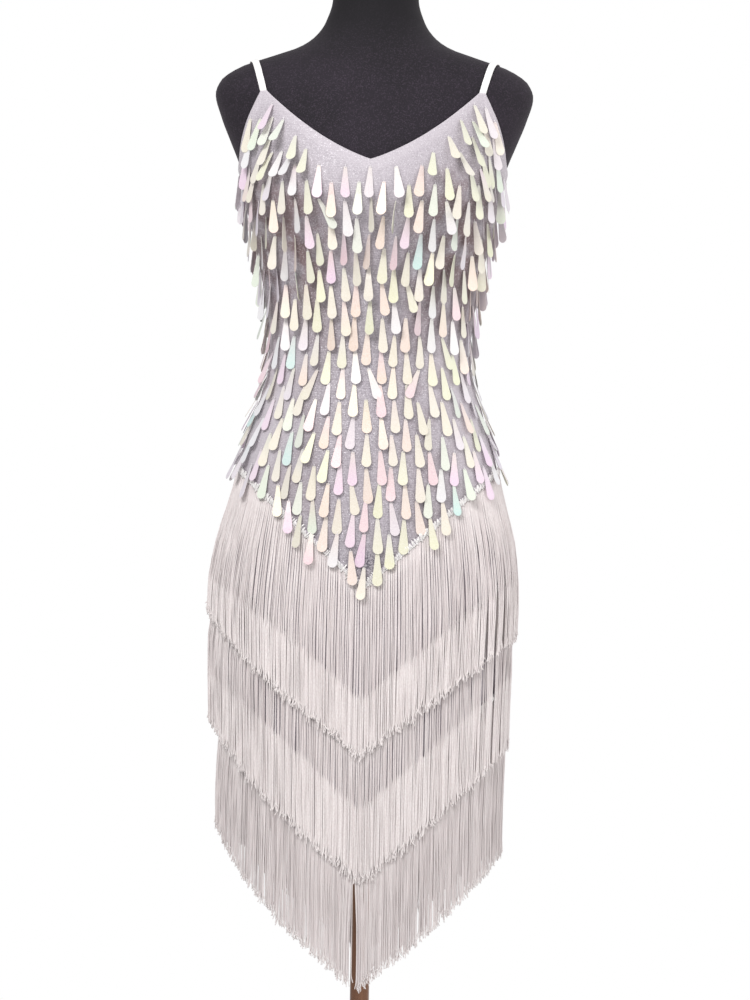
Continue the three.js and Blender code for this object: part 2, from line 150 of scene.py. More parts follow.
def column(index, scale):
    """One column of the figure as a monotone cubic in height, with harmonic-mean slopes."""
    at, value = FIGURE[:, 0] * MM, FIGURE[:, index] * scale
    secant = np.diff(value) / np.diff(at)
    before, after = secant[:-1], secant[1:]
    same = before * after > 0
    inner = np.where(same, 2 * before * after / np.where(same, before + after, 1), 0)
    slope = np.concatenate([secant[:1], inner, secant[-1:]])

    def curve(height):
        h = np.clip(height, at[0], at[-1])
        i = np.clip(np.searchsorted(at, h, side="right") - 1, 0, len(at) - 2)
        span = at[i + 1] - at[i]
        t = (h - at[i]) / span
        return (
            value[i] * (1 + 2 * t) * (1 - t) ** 2
            + slope[i] * span * t * (1 - t) ** 2
            + value[i + 1] * t * t * (3 - 2 * t)
            + slope[i + 1] * span * t * t * (t - 1)
        )

    return curve


half_width, front_depth, back_depth = (column(i, MM) for i in (1, 2, 3))
squareness = column(4, 1)


def bust_out(angle, height, hollow):
    """Two Gaussian rounds at +-31 degrees, bridged across the middle by a squared cosine."""
    away = from_front(angle)
    level = bell((height - BUST["height"])
                 / np.where(height > BUST["height"], BUST["above"], BUST["below"]))
    side = bell((away - BUST["angle"]) / BUST["spread"])
    bridged = 1 - hollow * cosine(away / BUST["angle"] * 90) ** 2
    return BUST["out"] * level * np.where(away < BUST["angle"], bridged, side)


def figure_point(angle, height, out, hollow=HOLLOW_CLOTH):
    """The figure's superellipse section at a height, grown by out, as points (..., 3)."""
    angle, height, out = np.broadcast_arrays(*(np.asarray(v, float) for v in (angle, height, out)))
    s, c = sine(angle), cosine(angle)
    power = 2 / squareness(height)
    depth = np.where(c > 0, front_depth(height), back_depth(height))
    x = np.sign(s) * (half_width(height) + out) * np.abs(s) ** power
    y = -np.sign(c) * (depth + out) * np.abs(c) ** power
    push = 1 + bust_out(angle, height, hollow) / np.hypot(x, y)
    return np.stack([x * push, y * push, height], -1)


def unit(v):
    return v / np.maximum(np.linalg.norm(v, axis=-1, keepdims=True), 1e-12)


def levelled(v):
    """The level directions of vectors (..., 3)."""
    return unit(v * np.array([1, 1, 0]))


def arc_lengths(path):
    """How far along a path (n, 3) each of its points lies."""
    return np.concatenate([[0], np.cumsum(np.linalg.norm(np.diff(path, axis=0), axis=1))])


def surface_frame(angle, height, out):
    """Point, outward normal and downhill tangent of the grown figure, by central differences."""
    point = figure_point(angle, height, out)
    along = figure_point(angle + 0.4, height, out) - figure_point(angle - 0.4, height, out)
    up = figure_point(angle, height + 1 * MM, out) - figure_point(angle, height - 1 * MM, out)
    return point, unit(np.cross(along, up)), unit(-up)


def angle_at(x, height, on_back=False):
    """The angle at which the figure's section reaches an x, on its front or its back."""
    share = min(1.0, abs(x) / float(half_width(height)))
    angle = math.degrees(math.asin(share ** (float(squareness(height)) / 2)))
    return math.copysign(180 - angle if on_back else angle, x)


HIP_ANGLES = np.linspace(-180, 180, 1441)
HIP_ARCS = arc_lengths(figure_point(HIP_ANGLES, HIP_HEIGHT, 0))
GIRTH = HIP_ARCS[-1]


def hip_angle(arc):
    """The angle at an arc length round the hips, 0 at centre front and growing towards +X."""
    return np.interp((arc + GIRTH / 2) % GIRTH, HIP_ARCS, HIP_ANGLES)


def tape_height(tier, angle):
    """Height of a tier's chevron: its middle plus the slope times the distance from the centre
    line. That distance changes with the height, so both are settled in a few rounds."""
    middle = TIERS[tier]["middle"]
    height = np.full(np.shape(angle), middle, float)
    for _ in range(6):
        height = middle + TAPE_SLOPE * np.abs(figure_point(angle, height, SKIN)[..., 0])
    return height


STRAP_FRONT_ANGLE = angle_at(STRAP_FRONT_X, STRAP_POINT)
STRAP_BACK_ANGLE = angle_at(STRAP_BACK_X, BACK_POINT, True)
STRAP_HALF_ANGLE = math.degrees(STRAP_WIDTH / 2 / (float(half_width(STRAP_POINT)) * 0.86))


def front_top(angle):
    """Front's top edge: a sagging line from the V to the strap, then a sine armhole to the side."""
    away = np.abs(angle)
    inner, outer = STRAP_FRONT_ANGLE - STRAP_HALF_ANGLE, STRAP_FRONT_ANGLE + STRAP_HALF_ANGLE
    t = np.clip(away / inner, 0, 1)
    neck = mix(V_POINT, STRAP_POINT, t) - NECK_SAG * 4 * t * (1 - t)
    t = np.clip((away - outer) / (90 - outer), 0, 1)
    arm = mix(STRAP_POINT, UNDERARM, sine(t * 90) ** 0.9)
    return np.where(away <= inner, neck, arm)


def back_top(angle):
    """Back's top edge: a smooth rise from the side to the strap, then a quarter-sine dip."""
    away = from_front(angle)
    outer, inner = STRAP_BACK_ANGLE - STRAP_HALF_ANGLE, STRAP_BACK_ANGLE + STRAP_HALF_ANGLE
    arm = mix(UNDERARM, BACK_POINT, smooth((away - 90) / (outer - 90)) ** 1.2)
    t = np.clip((away - inner) / (180 - inner), 0, 1)
    return np.where(away <= outer, arm, mix(BACK_POINT, BACK_DIP, sine(t * 90)))


# ---- meshes from grids ----


def grid_faces(rows, columns, start=0, wrap_columns=False, wrap_rows=False):
    """Quads of a grid of points numbered row by row; they face out when columns run to +angle."""
    r = np.arange(rows if wrap_rows else rows - 1)[:, None]
    c = np.arange(columns if wrap_columns else columns - 1)[None, :]
    r2, c2 = (r + 1) % rows, (c + 1) % columns
    corners = [r * columns + c, r * columns + c2, r2 * columns + c2, r2 * columns + c]
    return start + np.stack(np.broadcast_arrays(*corners), -1).reshape(-1, 4)


def placed(name, data):
    """A new object with the data, linked to the scene."""
    item = bpy.data.objects.new(name, data)
    bpy.context.scene.collection.objects.link(item)
    return item


def new_piece(name, points, faces, material, slot, colours=None, smooth_faces=True):
    """An object from points (n, 3) and a list of face arrays, with an optional colour a point."""
    mesh = bpy.data.meshes.new(name)
    points = np.asarray(points, np.float32).reshape(-1, 3)
    loops = np.concatenate([f.reshape(-1) for f in faces]).astype(np.int32)
    sizes = np.concatenate([np.full(len(f), f.shape[1]) for f in faces])
    mesh.vertices.add(len(points))
    mesh.vertices.foreach_set("co", points.reshape(-1))
    mesh.loops.add(len(loops))
    mesh.loops.foreach_set("vertex_index", loops)
    mesh.polygons.add(len(sizes))
    mesh.polygons.foreach_set("loop_start", (np.cumsum(sizes) - sizes).astype(np.int32))
    mesh.update(calc_edges=True)
    mesh.validate()
    mesh.polygons.foreach_set("use_smooth", np.full(len(sizes), smooth_faces))
    if colours is not None:
        layer = mesh.attributes.new("tint", "FLOAT_COLOR", "POINT")
        rgba = np.concatenate([colours, np.ones((len(colours), 1))], 1)
        layer.data.foreach_set("color", rgba.astype(np.float32).reshape(-1))
    mesh.materials.append(material)
    piece = placed(name, mesh)
    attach(piece, "root")
    return piece


def wall(name, outer, inner, material, slot, colours=None, wrap=False):
    """A closed thin wall between two grids (rows, columns, 3) that have the same layout."""
    rows, columns = outer.shape[:2]
    count = rows * columns
    out = np.arange(count).reshape(rows, columns)
    ins = out + count
    faces = [grid_faces(rows, columns, 0, wrap), grid_faces(rows, columns, count, wrap)[:, ::-1]]

    def strip(a, b):
        return np.stack([a[:-1], a[1:], b[1:], b[:-1]], -1)

    sides = [] if wrap else [strip(out[:, 0], ins[:, 0]), strip(ins[:, -1], out[:, -1])]
    if wrap:
        out, ins = (np.hstack([grid, grid[:, :1]]) for grid in (out, ins))
    faces += [strip(ins[0], out[0]), strip(out[-1], ins[-1]), *sides]
    points = np.concatenate([outer.reshape(-1, 3), inner.reshape(-1, 3)])
    if colours is not None:
        colours = np.concatenate([colours.reshape(-1, 3)] * 2)
    return new_piece(name, points, faces, material, slot, colours)


def capped(name, grid, material, slot):
    """A closed skin from rings (rows, columns, 3), its two ends fanned to the rings' centres."""
    rows, columns = grid.shape[:2]
    count = rows * columns
    ring = np.arange(columns)
    after = (ring + 1) % columns
    low = np.stack([np.full(columns, count), after, ring], -1)
    top = (rows - 1) * columns
    high = np.stack([np.full(columns, count + 1), top + ring, top + after], -1)
    points = np.concatenate([grid.reshape(-1, 3), grid[[0, -1]].mean(1)])
    return new_piece(name, points, [grid_faces(rows, columns, 0, True), low, high], material, slot)


def turned(name, profile, material, slot, ring=False, sides=96):
    """A profile of (radius, height) turned about Z: closed on itself as a ring, or capped."""
    turn = np.linspace(0, 2 * np.pi, sides, endpoint=False)
    radius, height = np.array(profile, float).T[:, :, None]
    grid = np.stack(np.broadcast_arrays(radius * np.sin(turn), -radius * np.cos(turn), height), -1)
    if not ring:
        return capped(name, grid, material, slot)
    faces = grid_faces(len(profile), sides, 0, True, True)
    return new_piece(name, grid, [faces], material, slot)


def rounded(corners, radius, steps=5):
    """A profile with each corner replaced by an arc; corners are (radius, height) points."""
    made = []
    points = np.array(corners, float)
    for before, at, after in zip(points, points[1:], points[2:]):
        u, v = unit(before - at), unit(after - at)
        half = math.acos(np.clip(u @ v, -1, 1)) / 2
        reach = min(radius / math.tan(half), 0.45 * np.linalg.norm(before - at),
                    0.45 * np.linalg.norm(after - at))
        centre = at + unit(u + v) * reach / math.cos(half)
        start, end = at + u * reach - centre, at + v * reach - centre
        for t in np.linspace(0, 1, steps):
            made.append(centre + unit(mix(start, end, t)) * np.linalg.norm(start))
    return np.array([points[0], *made, points[-1]])


def tubes(paths, radius, beside, sides=4):
    """Many tubes at once: paths (n, m, 3), their radius, and beside, a direction across each path.
    A ring is the path's point plus radius times a unit circle in the plane across the tangent."""
    count, steps = paths.shape[:2]
    radius = np.broadcast_to(radius, (count, steps))
    tangent = unit(np.gradient(paths, axis=1))
    u = unit(np.cross(tangent, np.broadcast_to(beside, paths.shape)))
    v = np.cross(tangent, u)
    turn = np.arange(sides) * 2 * np.pi / sides + np.pi / 4
    offset = u[:, :, None] * np.cos(turn)[:, None] + v[:, :, None] * np.sin(turn)[:, None]
    points = paths[:, :, None] + radius[:, :, None, None] * offset
    start = (np.arange(count) * steps * sides)[:, None, None]
    body = (start + grid_faces(steps, sides, 0, True)[None]).reshape(-1, 4)
    ends = np.stack([np.arange(sides)[::-1], (steps - 1) * sides + np.arange(sides)])
    caps = (start + ends[None]).reshape(-1, sides)
    return points.reshape(-1, 3), [body, caps]


def joined(one, other):
    """Two pairs of points and face arrays put together."""
    return np.concatenate([one[0], other[0]]), one[1] + [f + len(one[0]) for f in other[1]]


# ---- materials ----


class Tree:
    """The node tree of a material or a world."""

    def __init__(self, owner):
        owner.use_nodes = True
        self.tree = owner.node_tree

    def feed(self, socket, value):
        """Links a socket to an output or sets it; a tuple is a colour."""
        if isinstance(value, bpy.types.NodeSocket):
            self.tree.links.new(value, socket)
        else:
            socket.default_value = (*value, 1) if isinstance(value, tuple) else value

    def add(self, kind, **values):
        """A new node; the values are its settings or go to its inputs."""
        node = self.tree.nodes.new("ShaderNode" + kind)
        for key, value in values.items():
            if hasattr(node, key):
                setattr(node, key, value)
            else:
                self.feed(node.inputs[key], value)
        return node

    def split(self, value, kind="Color"):
        node = self.add("Separate" + kind)
        self.feed(node.inputs[0], value)
        return node.outputs


class Nodes(Tree):
    def __init__(self, name, **values):
        self.material = bpy.data.materials.new(name)
        super().__init__(self.material)
        self.shader = self.tree.nodes["Principled BSDF"]
        self.place = self.add("TexCoord").outputs["Object"]
        self.set(**values)

    def set(self, **values):
        """Feeds the shader's inputs, named with underscores for spaces."""
        for key, value in values.items():
            self.feed(self.shader.inputs[key.replace("_", " ")], value)

    def noise(self, scale, detail=3.0, stretch=None):
        place = self.place
        if stretch is not None:
            place = self.add("Mapping", Scale=stretch, Vector=place).outputs["Vector"]
        return self.add("TexNoise", Scale=scale, Detail=detail, Vector=place).outputs["Fac"]

    def cells(self, scale):
        """A random grey for each cell of a Voronoi pattern."""
        node = self.add("TexVoronoi", Scale=scale, Vector=self.place)
        return self.split(node.outputs["Color"])[0]

    def tint(self):
        """The colour that the mesh holds for each point."""
        return self.add("Attribute", attribute_name="tint").outputs["Color"]

    def height(self):
        return self.split(self.place, "XYZ")["Z"]

    def math(self, operation, a, b=0.0):
        node = self.add("Math", operation=operation)
        for socket, value in zip(node.inputs, (a, b)):
            self.feed(socket, value)
        return node.outputs[0]

    def times(self, a, b):
        return self.math("MULTIPLY", a, b)

    def between(self, value, low, high, to_low=0.0, to_high=1.0):
        """A smooth step from to_low to to_high while the value goes from low to high."""
        limits = {"From Min": low, "From Max": high, "To Min": to_low, "To Max": to_high}
        node = self.add("MapRange", interpolation_type="SMOOTHSTEP", Value=value, **limits)
        return node.outputs["Result"]

    def blend(self, share, first, second):
        node = self.add("Mix", data_type="RGBA")
        for index, value in ((0, share), (6, first), (7, second)):
            self.feed(node.inputs[index], value)
        return node.outputs[2]

    def bump(self, height, distance, strength):
        node = self.add("Bump", Height=height, Distance=distance, Strength=strength)
        self.set(Normal=node.outputs["Normal"])

    def courses(self, pitch):
        """Rows of knitting: 0 to 1 across each row of the given pitch, a little wavy."""
        phase = self.times(self.height(), 2 * math.pi / pitch)
        wave = self.math("SINE", self.math("ADD", phase, self.times(self.noise(90.0, 2.0), 2.4)))
        return self.math("MULTIPLY_ADD", wave, 0.5)


def glitter_knit():
    """Lilac-grey stretch knit with rows of stitches and metallic flecks; its tint says where it is
    darker in patches, where painted light and the opaque hem make it lighter, and how specked."""
    n = Nodes("glitter_knit", Roughness=0.6, Sheen_Weight=0.15, Sheen_Roughness=0.5)
    dark_patches, hem_and_painted_light, specked = n.split(n.tint())[:3]
    rows = n.courses(2.0 * MM)
    mottle = n.between(n.noise(420.0, 4.0), 0.3, 0.7)
    patches = n.between(n.noise(38.0, 3.0), 0.32, 0.58)
    specks = n.between(n.cells(600.0), 0.45, 0.6)
    flecks = n.between(n.cells(1700.0), 0.91, 0.94)
    base = n.blend(mottle, (0.26, 0.23, 0.262), (0.435, 0.393, 0.437))
    base = n.blend(n.times(rows, 0.4), base, (0.47, 0.435, 0.475))
    # painted light, with the opaque hem's own lightness: a lighter knit at the top edge, the flanks
    # and under the fringe
    base = n.blend(hem_and_painted_light, base, (0.58, 0.535, 0.58))
    base = n.blend(n.times(dark_patches, patches), base, (0.19, 0.128, 0.135))
    base = n.blend(n.times(specked, specks), base, (0.035, 0.03, 0.05))
    n.set(Base_Color=n.blend(n.times(flecks, 0.6), base, (0.95, 0.93, 0.96)))
    n.set(Metallic=n.times(flecks, 0.3), Roughness=n.between(flecks, 0, 1, 0.6, 0.4))
    n.bump(n.math("ADD", rows, n.times(flecks, 0.8)), 0.3 * MM, 0.6)
    return n.material


def jersey():
    """Near-black jersey with fine ribs and faint violet lint; painted shade darkens the neck and
    thins its lint.
    """
    n = Nodes("black_jersey", Roughness=0.85, Specular_IOR_Level=0.35,
              Sheen_Weight=0.07, Sheen_Roughness=0.45, Sheen_Tint=(0.42, 0.36, 0.44))
    lint = n.between(n.cells(1000.0), 0.66, 0.98)
    # painted shade on the neck: 1 below it, 0.12 on it; it darkens the jersey there and thins the
    # lint
    off_neck_shade = n.between(n.height(), 1.36, 1.47, 1.0, 0.12)
    base = n.blend(n.times(n.noise(14.0), off_neck_shade), (0.004, 0.0035, 0.005), (0.022, 0.016, 0.025))
    linty = n.times(lint, n.times(off_neck_shade, 0.4))
    n.set(Base_Color=n.blend(linty, base, (0.070, 0.05, 0.075)))
    n.bump(n.math("ADD", n.courses(1.3 * MM), n.noise(900.0, 2.0)), 0.18 * MM, 0.6)
    return n.material


def fringe_yarn():
    """Pinkish cream rayon: a tint for each strand and a twist along it."""
    n = Nodes("fringe_yarn", Roughness=0.45, Sheen_Weight=0.2, Sheen_Roughness=0.4)
    twist = n.noise(800.0, 2.0, [1.0, 1.0, 0.5])
    shade = n.times(n.between(twist, 0.35, 0.65), 0.4)
    n.set(Base_Color=n.blend(shade, n.tint(), (0.66, 0.575, 0.57)))
    n.bump(twist, 0.2 * MM, 0.5)
    return n.material


def braid_yarn():
    """White and silver looped yarn."""
    n = Nodes("heading_braid", Roughness=0.4, Sheen_Weight=0.2)
    twist = n.noise(1100.0, 2.0)
    glint = n.between(n.cells(900.0), 0.8, 0.86)
    base = n.blend(twist, (0.80, 0.77, 0.76), (0.97, 0.95, 0.94))
    n.set(Base_Color=n.blend(glint, base, (1.0, 1.0, 1.0)), Metallic=n.times(glint, 0.5))
    n.bump(twist, 0.2 * MM, 0.6)
    return n.material


def elastic():
    """White strap elastic with fine level ribs."""
    n = Nodes("strap_elastic", Roughness=0.45, Sheen_Weight=0.2)
    weave = n.noise(1500.0, 2.0)
    n.set(Base_Color=n.blend(weave, (0.80, 0.79, 0.78), (0.95, 0.94, 0.93)))
    n.bump(n.math("ADD", n.courses(0.9 * MM), weave), 0.15 * MM, 0.5)
    return n.material


def pearl():
    """Pearly plastic: each drop's own tint, finely grained, under a thin-film sheen."""
    n = Nodes("pearl_drop", Roughness=0.42, Metallic=0.05, Coat_Weight=0.2, Coat_Roughness=0.3,
              Thin_Film_Thickness=430.0, Thin_Film_IOR=1.4)
    grain = n.noise(950.0, 3.0)
    chalky = n.times(n.between(grain, 0.35, 0.65), 0.36)
    n.set(Base_Color=n.blend(chalky, n.tint(), (0.89, 0.86, 0.84)))
    n.bump(grain, 0.06 * MM, 0.5)
    return n.material


def thread():
    n = Nodes("white_thread", Roughness=0.5)
    n.set(Base_Color=n.blend(n.noise(1200.0, 2.0), (0.78, 0.75, 0.76), (0.95, 0.94, 0.94)))
    return n.material


def bronze():
    """Copper-brown glossy tube with faint lengthwise streaks."""
    n = Nodes("copper_bronze", Roughness=0.2, Metallic=0.9, Coat_Weight=0.3, Coat_Roughness=0.08)
    streak = n.noise(160.0, 3.0, [1.0, 1.0, 0.03])
    n.set(Base_Color=n.blend(streak, (0.11, 0.05, 0.03), (0.28, 0.14, 0.082)),
          Roughness=n.between(streak, 0.2, 0.8, 0.16, 0.3))
    n.bump(n.noise(45.0, 2.0), 0.2 * MM, 0.15)
    return n.material


def enamel():
    n = Nodes("black_enamel", Roughness=0.38, Coat_Weight=0.3, Coat_Roughness=0.25)
    dust = n.noise(35.0, 5.0)
    n.set(Base_Color=n.blend(dust, (0.018, 0.018, 0.020), (0.036, 0.035, 0.038)),
          Roughness=n.between(dust, 0.3, 0.7, 0.3, 0.46))
    n.bump(n.noise(500.0, 2.0), 0.1 * MM, 0.3)
    return n.material


def floor_paint():
    n = Nodes("pale_floor", Roughness=0.7)
    n.set(Base_Color=n.blend(n.noise(3.0, 3.0), (0.80, 0.80, 0.80), (0.84, 0.84, 0.84)))
    return n.material


# ---- the dress form ----


def form_torso(material):
    """The figure's sections from underside to neck, with quarter-round edges at both ends."""
    turn = np.radians(np.linspace(0, 90, 7))
    low = [FORM_BOTTOM + FORM_EDGE * (1 - np.cos(turn)), FORM_EDGE * (1 - np.sin(turn))]
    high = [NECK_TOP - NECK_EDGE * (1 - np.sin(turn)), NECK_EDGE * (1 - np.cos(turn))]
    clear = np.linspace(low[0][-1] + 4 * MM, high[0][0] - 4 * MM, 150)
    heights = np.concatenate([low[0], clear, high[0]])
    insets = np.concatenate([low[1], np.zeros(len(clear)), high[1]])
    angles = np.linspace(0, 360, 144, endpoint=False)
    grid = figure_point(angles[None], heights[:, None], -insets[:, None], HOLLOW_FORM)
    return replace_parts(capped("torso_cover", grid, material, "jersey"), "form_torso")


def form_stand(metal, paint):
    """Pole, collar, hub and base plate as turned profiles with broken edges."""
    foot, head = BASE_THICK + GAP, FORM_BOTTOM - GAP
    bore, core = POLE_RADIUS + GAP, 1 * MM
    tube = rounded([(core, foot), (POLE_RADIUS, foot), (POLE_RADIUS, head), (core, head)], 1 * MM)
    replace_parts(turned("pole", tube, metal, "bronze"), "form_pole")
    for name, node, radius, low, high in (
        ("collar", "form_collar", COLLAR_RADIUS, head - COLLAR_HEIGHT, head),
        ("hub", "base_hub", HUB_RADIUS, foot, HUB_TOP),
    ):
        inside = (bore, mix(low, high, 0.5))
        outline = [inside, (bore, low), (radius, low), (radius, high), (bore, high), inside]
        profile = rounded(outline, 2.5 * MM)[:-1]
        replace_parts(turned(name, profile, metal, "bronze", ring=True), node)
    core = 2 * MM
    plate = rounded(
        [(core, 0), (BASE_RADIUS, 0), (BASE_RADIUS, BASE_THICK), (core, BASE_THICK)], 3 * MM)
    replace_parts(turned("plate", plate, paint, "base_enamel", sides=160), "base_plate")


# ---- the slip ----


def creases(angle, height):
    """Shallow drapes: slanting drags at the waist's sides and soft upright folds below."""
    away = from_front(angle)
    side = sine(np.minimum(away, 180 - away))
    waist = bell((height - 1.055) / 0.075)
    drags = np.sin((height - 0.0009 * away) * 2 * np.pi / 0.031 + 0.7 * np.sin(angle / 17))
    under_bust = bell((height - 1.165) / 0.03) * cosine(away * 4.5)
    skirt = smooth((0.74 - height) / 0.2) * sine(angle * 9 + 30 * np.sin(height * 18))
    return (0.75 * drags * side**2 * waist + 0.5 * under_bust + 0.55 * skirt) * MM


def knit_tint(angle, height, high):
    """What glitter_knit reads: darker in patches below the bust but not at the middle and the
    flanks;
    lighter along the top edge (partly the opaque turned hem, partly painted light), painted light
    at the flanks and under the fringe; specked at the chevron's point."""
    away = from_front(angle)
    off_middle = np.minimum(away, 180 - away)
    # the flanks below the waist: their knit is painted lighter (painted light) and has no dark
    # patches
    flank_painted_light = smooth((off_middle - 22) / 34) * smooth((1.11 - height) / 0.07)
    # darker patches below the bust, away from the middle
    dark_patches = (0.3 + 0.7 * bell((height - 1.18) / 0.08)) * smooth((off_middle - 8) / 22)
    dark_patches = dark_patches * (1 - flank_painted_light) * smooth((1.285 - height) / 0.05)
    # a lighter strip along the top edge: partly the opaque turned hem, partly painted light
    band = np.maximum(smooth(1.4 - (high - height) / (20 * MM)),
                      0.55 * smooth(1.6 - (high - height) / (50 * MM)))
    # painted light on the knit under the upper fringe, where the strands' shade falls
    skirt = smooth((tape_height("fringe_upper", angle) - height) / (12 * MM))
    dark_patches = dark_patches * (1 - band) * (1 - skirt)
    hem_and_painted_light = np.maximum(np.maximum(0.6 * band, 0.75 * flank_painted_light), skirt)
    x = figure_point(angle, height, 0)[..., 0]
    specked = bell((height - 0.806) / (13 * MM)) * bell(x / (15 * MM))
    return np.stack([dark_patches, hem_and_painted_light, specked], -1)


def slip_panel(name, angles, rows, top, material):
    """A knit panel: rows from the hem to the top edge over the angles, closer together near the
    top, where the turned edge stands out a little."""
    angle, even = angles[None], np.linspace(0, 1, rows)
    low, high = tape_height("fringe_lower", angle) - TAPE_HEIGHT / 2, top(angle)
    height = mix(low, high, mix(even, 1 - (1 - even) ** 1.35, 0.8)[:, None])
    turned_edge = smooth((height - high + 9.0 * MM) / (1.2 * MM)) * 0.35 * MM
    out = KNIT_FACE + creases(angle, height) + turned_edge
    return wall(name, figure_point(angle, height, out), figure_point(angle, height, out - KNIT),
                material, "glitter_knit", knit_tint(angle, height, high))


def edge_angles(strap_angle, centre, count):
    """Angles of a panel from side to side, with extra ones beside the strap's two edges."""
    corner = np.array([-1.01, -0.99, 0.99, 1.01]) * STRAP_HALF_ANGLE + strap_angle
    half = np.unique(np.concatenate([np.linspace(0, 89.95, count), abs(corner - centre)]))
    return np.concatenate([centre - half[:0:-1], centre + half])


def figure_test(x, y, z):
    depth = np.where(y < 0, front_depth(z), back_depth(z))
    power = squareness(z)
    return (np.abs(x) / half_width(z)) ** power + (np.abs(y) / depth) ** power - 1


def shoulder_point(x, turn):
    """Where rays in the planes of x meet the figure, by bisection, and the normals there."""
    ahead, up = -cosine(turn), sine(turn)
    low, high = np.zeros_like(turn), np.full_like(turn, 0.25)
    for _ in range(40):
        reach = (low + high) / 2
        inside = figure_test(x, reach * ahead, SHOULDER_MIDDLE + reach * up) < 0
        low, high = np.where(inside, reach, low), np.where(inside, high, reach)
    at = np.stack([x, low * ahead, SHOULDER_MIDDLE + low * up], -1)
    slope = [
        figure_test(*(at + step).T) - figure_test(*(at - step).T) for step in np.eye(3) * 0.5 * MM
    ]
    return at, unit(np.stack(slope, -1))


def shoulder_turn(x, height, on_back):
    """The turn about the shoulder's middle at which the figure has this x and height."""
    y = figure_point(angle_at(x, height, on_back), height, 0, 1)[..., 1]
    return math.degrees(math.atan2(height - SHOULDER_MIDDLE, -float(y)))


def strap(name, node, side, material):
    """A ribbon over the shoulder, its ends tucked behind the panels."""
    first = shoulder_turn(STRAP_FRONT_X, STRAP_POINT - STRAP_TUCK, False)
    last = shoulder_turn(STRAP_BACK_X, BACK_POINT - STRAP_TUCK, True)
    turn = np.linspace(first, last, 90)
    end = np.where(turn < 90, (90 - turn) / (90 - first), (turn - 90) / (last - 90))
    x = mix(STRAP_TOP_X, np.where(turn < 90, STRAP_FRONT_X, STRAP_BACK_X), end**1.3)
    at, normal = shoulder_point(x, turn)
    under = KNIT_FACE - KNIT - STRAP_THICK / 2 - 0.3 * MM
    off = mix(1.4 * MM, under, smooth(end * 3 - 2))
    middle = at + normal * off[:, None]
    along = unit(np.gradient(middle, axis=0))
    across = unit(np.cross(along, normal))
    up = np.cross(across, along)
    lanes = np.linspace(-1, 1, 7)
    crown = 0.12 * MM * (1 - lanes**4)
    base = middle[:, None] + across[:, None] * (lanes * STRAP_WIDTH / 2)[None, :, None]
    outer = base + up[:, None] * (STRAP_THICK / 2 + crown)[None, :, None]
    inner = base - up[:, None] * STRAP_THICK / 2
    if side < 0:
        outer, inner = (g[:, ::-1] * np.array([-1, 1, 1]) for g in (outer, inner))
    piece = wall(name, outer[::-1], inner[::-1], material, "strap_elastic")
    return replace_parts(piece, node)


def rolled_edge(name, angles, top, material):
    """A thin roll along a top edge: a tube whose path is the edge itself, 0.4 mm below it."""
    fine = np.unique(np.concatenate([np.linspace(angles[0], angles[-1], 420), angles]))
    path = figure_point(fine, top(fine) - 0.4 * MM, KNIT_FACE - KNIT / 2)[None]
    points, faces = tubes(path, 0.75 * MM, np.array([0, 0, 1.0]), 6)
    # the roll takes the knit's lighter colour at 0.9: the opaque hem, and a painted highlight along
    # the edge
    tint = np.broadcast_to([0, 0.9, 0.0], points.shape)
    return new_piece(name, points, faces, material, "glitter_knit", tint)


# ---- paillettes ----

DROP_LENGTH, DROP_WIDTH, DROP_THICK = 0.0395, 0.0117, 0.35 * MM
DROP_TIP = 1.95 * MM  # half the width of the sewn end
LOWEST_ROW, HIGHEST_ROW = 0.80, 1.36
COLUMN_PITCH, ROW_PITCH = 0.0148, 0.0193  # neighbouring columns are half a drop apart

# How drops turn, in degrees: lift away from the cloth (mean and spread, what the braid, the cups
# and the hips' sides at -X and +X add), tilt along it (spread, fan at the cups' outer sides, share
# that lies crossed and how far), yaw (spread, and how much more where they hang free).
LIFT, LIFT_BY_BRAID, LIFT_BY_CUPS, SPLAY = (3.0, 2.5), 5, 22, (7, 3)
TILT, FAN, CROSSED_SHARE, CROSSED = 3.4, 27, 0.045, 20
YAW, YAW_FREE = 8, 42

DROP_TONES = (0.765, 0.885)  # how light the drops are in the middle and at the sides; the sides' extra lightness is painted light
# Each tint, and how often it is drawn in the middle, on the flanks and at the sides.
TINTS = {
    "cream": ((0.89, 0.83, 0.64), (0.25, 0.31, 0.20)),
    "straw": ((0.86, 0.89, 0.55), (0.07, 0.20, 0.05)),
    "mint": ((0.76, 0.90, 0.72), (0.05, 0.15, 0.10)),
    "peach": ((0.95, 0.72, 0.58), (0.27, 0.08, 0.08)),
    "pink": ((0.92, 0.58, 0.68), (0.12, 0.03, 0.05)),
    "orchid": ((0.88, 0.60, 0.86), (0.11, 0.05, 0.08)),
    "lilac": ((0.82, 0.74, 0.85), (0.06, 0.06, 0.34)),
    "white": ((0.86, 0.87, 0.92), (0.07, 0.10, 0.09)),
    "aqua": ((0.50, 0.88, 0.84), (0.00, 0.02, 0.01)),
}
BLUSH = np.array([0.93, 0.865, 0.87])  # every tint is thinned with this
SEWN_END_GREY_AND_SHADE = np.array([0.62, 0.56, 0.59])  # and greyed with this at the sewn end: partly the knit seen through the narrow neck, partly painted shade from the drop above


def drop_shape():
    """One drop, (rows, 2 sides, [across, down, out]): straight sides that widen from the sewn end
    to the round bottom."""
    bottom = DROP_WIDTH / 2
    turn = np.radians([-3, 24, 46, 66, 84])
    down = np.concatenate([[0, 0.9 * MM, 0.36 * DROP_LENGTH],
                           DROP_LENGTH - bottom + bottom * np.sin(turn)])
    half = np.concatenate([[0.8 * DROP_TIP, DROP_TIP, 0], bottom * np.cos(turn)])
    half[2] = mix(DROP_TIP, half[3], (down[2] - down[1]) / (down[3] - down[1]))
    across = half[:, None] * np.array([-1.0, 1.0])
    return np.stack([across, np.repeat(down[:, None], 2, 1), np.zeros_like(across)], -1)


